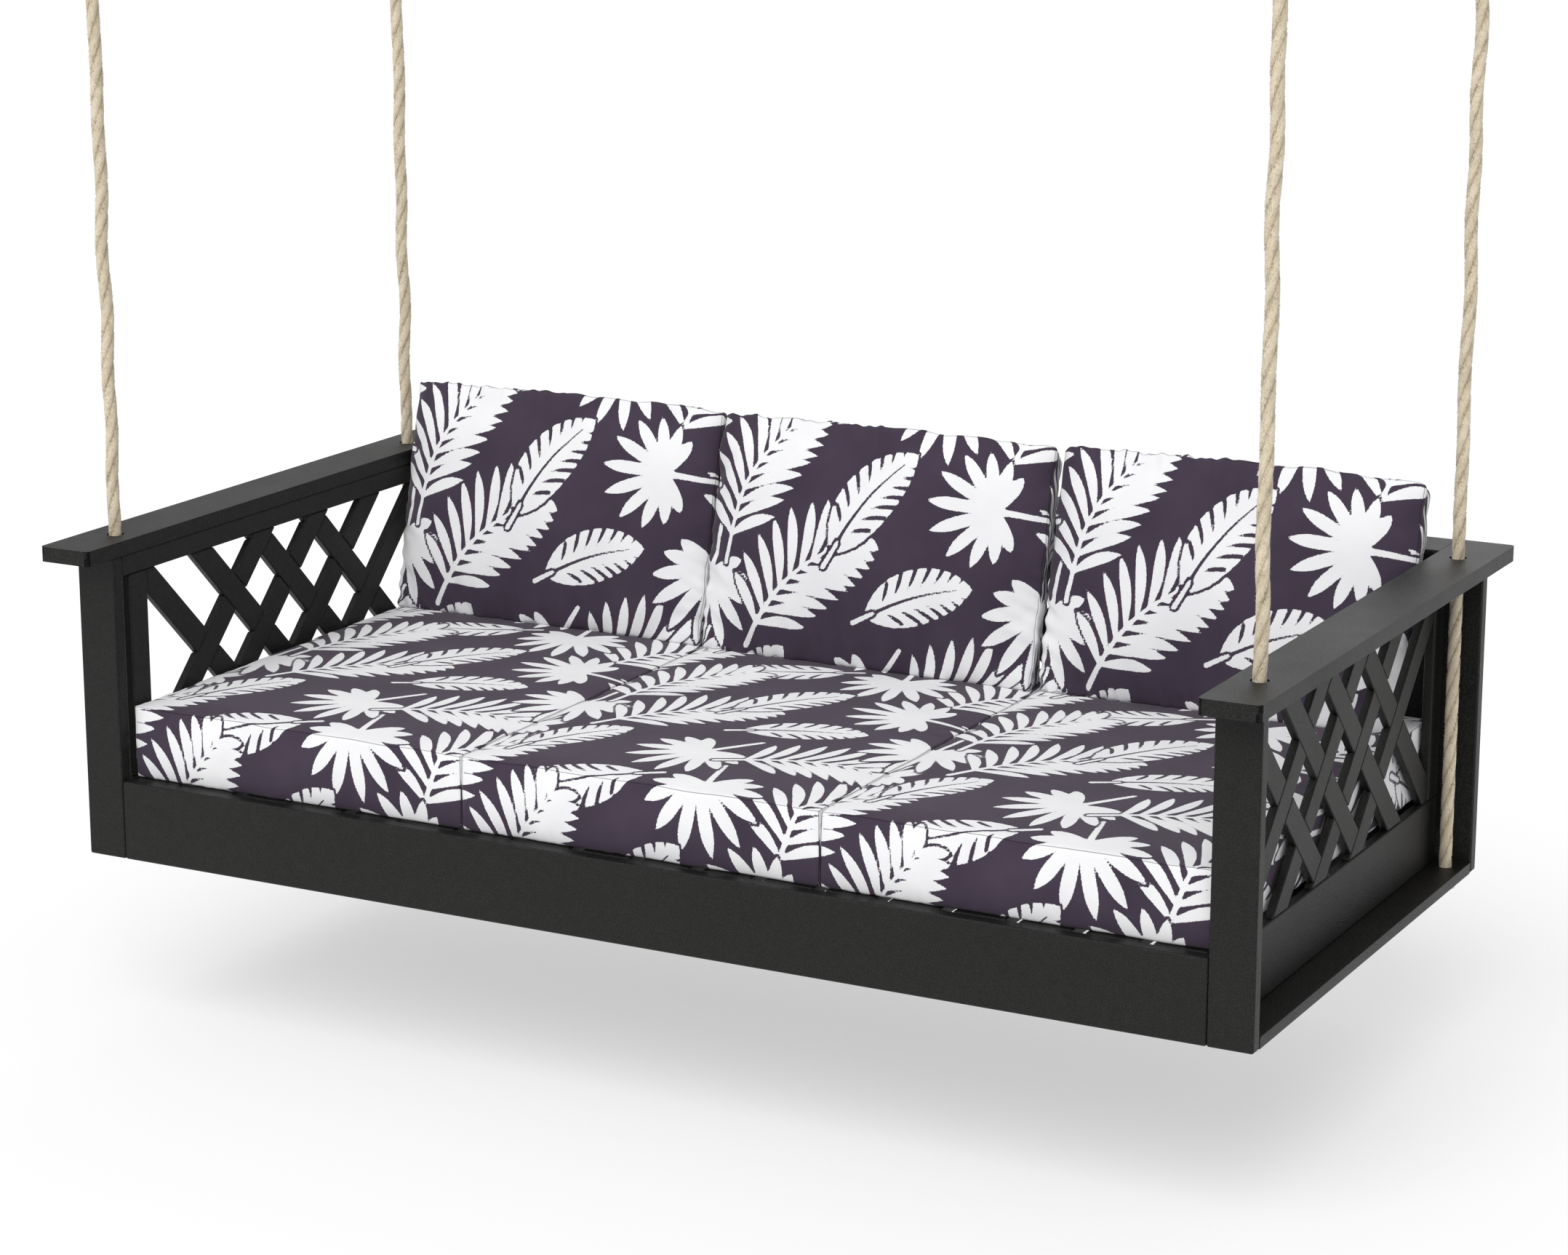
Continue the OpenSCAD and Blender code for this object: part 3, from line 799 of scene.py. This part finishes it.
def build_cushion(name, kind, size, place, seed, start, filling):
    """place turns local points into the row frame; start shapes the box before it swells."""
    grid = BoxGrid(size)
    pressure, stretch, cap = filling
    shaped = start(grid, seed)
    obj = tidy_mesh(name, shaped, grid.faces)
    seams = grid.on_seam()
    swollen = swell(obj, seams.astype(float), pressure, stretch)
    move = swollen - shaped
    far = np.linalg.norm(move, axis=1)
    move *= (cap * np.tanh(far / cap) / np.maximum(far, 1e-9))[:, None]
    shaped = shaped + move
    obj.data.vertices.foreach_set("co", shaped.ravel())
    mesh = obj.data
    add_attribute(mesh, "rest", "FLOAT_VECTOR", "POINT", grid.rest)
    add_attribute(mesh, "panel", "FLOAT", "FACE", grid.panel)
    crease = mesh.attributes.new("crease_edge", "FLOAT", "EDGE")
    seam = grid.on_seam()
    ends = np.array([e.vertices[:] for e in mesh.edges])
    same = ((grid.cells[ends[:, 0]] == grid.cells[ends[:, 1]])
            & ((grid.cells[ends[:, 0]] == 0) | (grid.cells[ends[:, 0]] == grid.n))).sum(axis=1) >= 2
    stitched = seam[ends[:, 0]] & seam[ends[:, 1]] & same
    crease.data.foreach_set("value", np.where(stitched, CREASES[kind], 0.0).astype(np.float32))
    smooth = obj.modifiers.new("smooth", "SUBSURF")
    smooth.levels = smooth.render_levels = SUBDIVISIONS
    smooth.boundary_smooth = "ALL"
    dense = bpy.data.meshes.new_from_object(obj.evaluated_get(bpy.context.evaluated_depsgraph_get()))
    obj.modifiers.remove(smooth)
    obj.data = dense
    finish_cushion(obj, grid, kind, seed)
    co = np.zeros(len(dense.vertices) * 3)
    dense.vertices.foreach_get("co", co)
    co = place(co.reshape(-1, 3))
    dense.vertices.foreach_set("co", co.ravel())
    dense.update()
    dense.polygons.foreach_set("use_smooth", [True] * len(dense.polygons))
    dense.materials.clear()
    dense.materials.append(LEAF_CLOTH)
    return obj


def finish_cushion(obj, grid, kind, seed):
    """Pulls the seams in, puckers the cloth beside them and lays the print on each panel."""
    mesh = obj.data
    count = len(mesh.vertices)
    rest = np.zeros(count * 3)
    mesh.attributes["rest"].data.foreach_get("vector", rest)
    rest = rest.reshape(-1, 3)
    panel = np.zeros(len(mesh.polygons))
    mesh.attributes["panel"].data.foreach_get("value", panel)
    corners = np.zeros(len(mesh.loops), int)
    mesh.loops.foreach_get("vertex_index", corners)
    sizes = np.array([p.loop_total for p in mesh.polygons])
    of_panel = np.repeat(np.round(panel).astype(int), sizes)
    leaf, seam = np.zeros(len(corners)), np.zeros(len(corners))
    cloth = np.zeros((len(corners), 3))
    for number, (name, axis, _) in enumerate(PANELS):
        mine = np.nonzero(of_panel == number)[0]
        here = rest[corners[mine]]
        u, v = panel_print(grid, kind, name, here)
        leaf[mine] = sample_print(LEAF_SHEET, np.asarray(u, float), np.asarray(v, float))
        cloth[mine, 0], cloth[mine, 1], cloth[mine, 2] = u / 1000, v / 1000, number
        across = [a for a in range(3) if a != axis]
        to_edge = np.minimum(here[:, across], grid.size[across] - here[:, across]).min(axis=1)
        # Distance to the nearest seam in millimetres; the cloth material uses it to paint shade along the
        # seams
        seam[mine] = to_edge * 1000
    add_attribute(mesh, "leaf", "FLOAT", "CORNER", leaf)
    add_attribute(mesh, "seam", "FLOAT", "CORNER", seam)
    add_attribute(mesh, "cloth", "FLOAT_VECTOR", "CORNER", cloth)
    co, normal = np.zeros(count * 3), np.zeros(count * 3)
    mesh.vertices.foreach_get("co", co)
    mesh.vertex_normals.foreach_get("vector", normal)
    co, normal = co.reshape(-1, 3), normal.reshape(-1, 3)
    gap = np.sort(np.minimum(rest, grid.size - rest), axis=1)
    to_seam = gap[:, 1]
    along = gap[:, 2] + rest[:, 0] * 0.7 + rest[:, 2] * 0.5
    gather, reach, groove = (0.0016, 0.022, 0.0007) if kind == "seat" else (0.0058, 0.042, 0.0006)
    beside = np.exp(-to_seam / reach)
    folds = np.array([noise.noise(Vector((a / 0.029, d / 0.070, seed))) for a, d in zip(along, to_seam)])
    swell_scale, swell_height = (6.0, 0.0012) if kind == "seat" else (8.0, 0.0035)
    soft = np.array([noise.noise(Vector(p) * swell_scale + Vector((seed, 0, 0))) for p in rest])
    lift = gather * beside * folds + swell_height * soft * np.clip(to_seam / 0.05, 0, 1)
    lift -= groove * np.exp(-(to_seam / 0.0035) ** 2)
    mesh.vertices.foreach_set("co", (co + normal * lift[:, None]).ravel())


def seat_start(grid, seed):
    """A firm box, a little crowned, with corners that pull in."""
    p, size = grid.rest.copy(), grid.size
    share = p / size
    middle = size / 2
    side = 4 * share[:, 0] * (1 - share[:, 0])
    length = 4 * share[:, 1] * (1 - share[:, 1])
    height = 4 * share[:, 2] * (1 - share[:, 2])
    up = share[:, 2]
    p[:, 0] = middle[0] + (p[:, 0] - middle[0]) * (0.9970 + 0.0020 * height)
    p[:, 1] = middle[1] + (p[:, 1] - middle[1]) * (0.9915 + 0.004 * height * side)
    fade = np.clip((0.800 - grid.rest[:, 1]) / 0.060, 0, 1)
    p[:, 2] += up * (0.0015 * np.sqrt(np.clip(side, 0, 1)) * np.sqrt(np.clip(length, 0, 1)) * fade - 0.002)
    edge = grid.on_seam()
    p[:, 2] += np.where(edge & (up > 0.5), ripple(p[:, 0] + p[:, 1], seed, 0.19, 0.0012), 0) * fade
    p[:, 1] += np.where(edge & (share[:, 1] < 0.01), ripple(p[:, 0], seed + 1, 0.21, 0.0012), 0)
    return p


def back_start(grid, seed):
    """A softer box: its thin sides run back and in from the face, with a wavering top seam."""
    p, size = grid.rest.copy(), grid.size
    share = p / size
    middle = size / 2
    side = 4 * share[:, 0] * (1 - share[:, 0])
    height = 4 * share[:, 2] * (1 - share[:, 2])
    behind = share[:, 1]
    thin = 0.42 + 0.52 * np.clip(side, 0, 1) ** 0.32 * np.clip(height + 0.05, 0, 1) ** 0.36
    p[:, 1] = middle[1] + (p[:, 1] - middle[1]) * thin
    ear = 0.006 * np.exp(-((1 - share[:, 2]) / 0.07) ** 2)
    p[:, 0] = middle[0] + (p[:, 0] - middle[0]) * (0.985 + 0.007 * height + ear - 0.030 * behind)
    top = np.clip(2 * share[:, 2] - 1, 0, 1)
    p[:, 2] += np.where(share[:, 2] > 0.5, 1, 0) * 0.005 * side - 0.024 * behind * top
    edge = grid.on_seam()
    p[:, 2] += np.where(edge & (share[:, 2] > 0.5), ripple(p[:, 0] + 0.3 * p[:, 1], seed, 0.085, 0.0030)
                        + ripple(p[:, 0], seed + 6, 0.031, 0.0011), 0)
    p[:, 0] += np.where(edge, ripple(p[:, 2] + 0.4 * p[:, 1], seed + 2, 0.12, 0.0022), 0)
    p[:, 1] += np.where(edge, ripple(p[:, 0] + p[:, 2], seed + 4, 0.10, 0.0024), 0)
    return p


def to_row(points):
    return points + np.array([0.0, -HALF_DEPTH, -CEILING_TO_BASE])


SIDE_LIMIT = CUSHION_W / 2


def settle(points, bay, low, high):
    """Flattens a cushion where it meets its neighbours and what it lies on."""
    x = points[:, 0] - bay * CUSHION_PITCH
    points[:, 0] = bay * CUSHION_PITCH + np.clip(x, -SIDE_LIMIT, SIDE_LIMIT)
    points[:, 2] = np.maximum(points[:, 2], low)
    return points if high is None else high(points)


def place_seat(bay):
    def under_back(points):
        covered = np.clip((points[:, 1] - 0.790) / 0.06, 0, 1)
        limit = SEAT_Z + SEAT_THICK + (1 - covered) * 0.05
        points[:, 2] = np.minimum(points[:, 2], limit)
        points[:, 1] = np.clip(points[:, 1], SEAT_FRONT - 0.006, SEAT_FRONT + SEAT_DEEP + 0.002)
        return points

    def place(local):
        p = local + np.array([bay * CUSHION_PITCH - CUSHION_W / 2, SEAT_FRONT, SEAT_Z])
        return to_row(settle(p, bay, SEAT_Z, under_back))
    return place


def place_back(bay):
    c, s = math.cos(BACK_LEAN), math.sin(BACK_LEAN)

    def place(local):
        p = local.copy()
        y, z = local[:, 1].copy(), local[:, 2].copy()
        p[:, 1] = BACK_FOOT_Y + c * y + s * z
        p[:, 2] = BACK_FOOT_Z + BACK_LIFT - s * y + c * z
        p[:, 0] += bay * CUSHION_PITCH - CUSHION_W / 2
        p[:, 1] -= FORWARD[bay + 1]
        return to_row(settle(p, bay, BACK_FOOT_Z, None))
    return place


# Pressure, how much larger than its seams the cloth is cut, and how far it may swell
SEAT_FILLING, BACK_FILLING = (2.2, 0.003, 0.007), (4.5, 0.012, 0.026)
for number, bay in enumerate(BAYS):
    shift = number - 1
    seat = build_cushion(bay + "_seat_pad", "seat", (CUSHION_W, SEAT_DEEP, SEAT_THICK), place_seat(shift),
                         number * 2.1 + 0.7, seat_start, SEAT_FILLING)
    back = build_cushion(bay + "_back_pad", "back", (CUSHION_W, BACK_THICK, BACK_TALL), place_back(shift),
                         number * 1.9 + 0.3, back_start, BACK_FILLING)
    for piece, node, fill in ((seat, bay + "_seat_cushion", 0.85), (back, bay + "_back_cushion", 0.7)):
        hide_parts(node)
        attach(piece, "seat")
